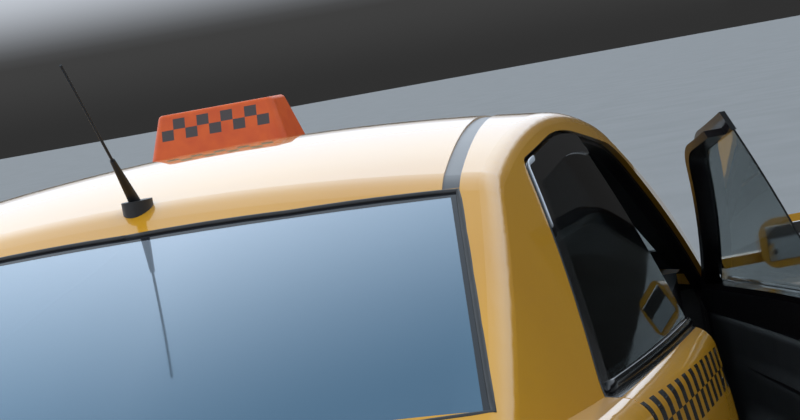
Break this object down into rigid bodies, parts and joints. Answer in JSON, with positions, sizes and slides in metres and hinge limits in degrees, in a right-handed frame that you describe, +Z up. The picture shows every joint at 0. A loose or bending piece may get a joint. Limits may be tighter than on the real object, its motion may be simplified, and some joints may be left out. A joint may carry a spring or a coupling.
{
  "type": "taxi cab",
  "caption": "Four-door taxi saloon with opening doors and lids, steered front wheels and an illuminated roof sign.",
  "frame": {"origin": "middle of the outline's bounding box on the ground, with the right front door standing open", "axes": "+X forward along the car, +Y to its left, +Z up"},
  "size_m": [4.4414, 2.1726, 1.6592],
  "materials": {
    "black_plastic": "matt",
    "body_paint": "gloss",
    "cast_metal": "matt",
    "dark_trim": "matt",
    "glass": "clear tinted",
    "lamp_clear": "clear gloss",
    "lamp_red": "gloss",
    "moulding": "satin",
    "seat_cloth": "woven",
    "sign_orange": "satin",
    "tyre": "matt",
    "underbody": "matt",
    "wheel_metal": "satin"
  },
  "bodies": {
    "car": {"antenna": "black_plastic", "body_side_left": "body_paint", "body_side_right": "body_paint", "bulkhead": "underbody", "cowl_panel": "black_plastic", "dashboard": "dark_trim", "ditch_mouldings": "moulding", "engine_block": "cast_metal", "floor_pan": "underbody", "front_bumper": "body_paint", "front_frame": "underbody", "front_seats": "seat_cloth", "front_subframe": "underbody", "front_wings": "body_paint", "grille": "black_plastic", "headlamps": "lamp_clear", "parcel_shelf": "body_paint", "rear_axle": "underbody", "rear_bench": "seat_cloth", "rear_bumper": "body_paint", "rear_floor": "underbody", "rear_window": "glass", "roof_panel": "body_paint", "roof_sign": "sign_orange", "sign_base": "black_plastic", "steering_column": "dark_trim", "tail_lamps": "lamp_red", "tail_panel": "body_paint", "windscreen": "glass"},
    "bonnet": {"bonnet": "body_paint"},
    "boot_lid": {"boot_lid": "body_paint"},
    "door_front_left": {"door_front_left": "body_paint", "door_glass_front_left": "glass", "door_mirror_left": "body_paint"},
    "door_front_right": {"door_front_right": "body_paint", "door_glass_front_right": "glass", "door_mirror_right": "body_paint"},
    "door_rear_left": {"door_glass_rear_left": "glass", "door_rear_left": "body_paint"},
    "door_rear_right": {"door_glass_rear_right": "glass", "door_rear_right": "body_paint"},
    "knuckle_left": {"knuckle_left": "underbody"},
    "knuckle_right": {"knuckle_right": "underbody"},
    "wheel_front_left": {"rim_front_left": "wheel_metal", "tyre_front_left": "tyre"},
    "wheel_front_right": {"rim_front_right": "wheel_metal", "tyre_front_right": "tyre"},
    "wheel_rear_left": {"rim_rear_left": "wheel_metal", "tyre_rear_left": "tyre"},
    "wheel_rear_right": {"rim_rear_right": "wheel_metal", "tyre_rear_right": "tyre"},
    "steering_wheel": {"steering_wheel": "black_plastic"}
  },
  "joints": [
    {"name": "door_front_left_hinge", "type": "hinge", "parent": "car", "child": "door_front_left", "pos_m": [0.9545, 0.91065, 0.6], "axis": [0, 0, -1], "range_deg": [0, 60]},
    {"name": "door_rear_left_hinge", "type": "hinge", "parent": "car", "child": "door_rear_left", "pos_m": [-0.08375, 0.93483, 0.6], "axis": [0, 0, -1], "range_deg": [0, 65]},
    {"name": "door_front_right_hinge", "type": "hinge", "parent": "car", "child": "door_front_right", "pos_m": [0.9545, -0.77865, 0.6], "axis": [0, 0, 1], "range_deg": [-16, 44]},
    {"name": "door_rear_right_hinge", "type": "hinge", "parent": "car", "child": "door_rear_right", "pos_m": [-0.08375, -0.80283, 0.6], "axis": [0, 0, 1], "range_deg": [0, 65]},
    {"name": "bonnet_hinge", "type": "hinge", "parent": "car", "child": "bonnet", "pos_m": [1.07, 0.066, 0.975], "axis": [0, -1, 0], "range_deg": [0, 50]},
    {"name": "boot_lid_hinge", "type": "hinge", "parent": "car", "child": "boot_lid", "pos_m": [-1.568, 0.066, 1.087], "axis": [0, 1, 0], "range_deg": [0, 75]},
    {"name": "steer_left", "type": "hinge", "parent": "car", "child": "knuckle_left", "pos_m": [1.345, 0.766, 0.222], "axis": [0, -0.2577, 0.9662], "range_deg": [-30, 30]},
    {"name": "wheel_front_left_spin", "type": "hinge", "parent": "knuckle_left", "child": "wheel_front_left", "pos_m": [1.345, 0.806, 0.305], "axis": [0, 1, 0], "continuous": true},
    {"name": "wheel_rear_left_spin", "type": "hinge", "parent": "car", "child": "wheel_rear_left", "pos_m": [-1.255, 0.806, 0.305], "axis": [0, 1, 0], "continuous": true},
    {"name": "steer_right", "type": "hinge", "parent": "car", "child": "knuckle_right", "pos_m": [1.345, -0.634, 0.222], "axis": [0, 0.2577, 0.9662], "range_deg": [-30, 30]},
    {"name": "wheel_front_right_spin", "type": "hinge", "parent": "knuckle_right", "child": "wheel_front_right", "pos_m": [1.345, -0.674, 0.305], "axis": [0, 1, 0], "continuous": true},
    {"name": "wheel_rear_right_spin", "type": "hinge", "parent": "car", "child": "wheel_rear_right", "pos_m": [-1.255, -0.674, 0.305], "axis": [0, 1, 0], "continuous": true},
    {"name": "steering_wheel_turn", "type": "hinge", "parent": "car", "child": "steering_wheel", "pos_m": [0.6, 0.436, 0.8], "axis": [-0.9063, 0, 0.4226], "range_deg": [-450, 450]}
  ],
  "couplings": [
    {"joint": "steer_right", "follows": "steer_left", "ratio": 1},
    {"joint": "steering_wheel_turn", "follows": "steer_left", "ratio": 15}
  ]
}
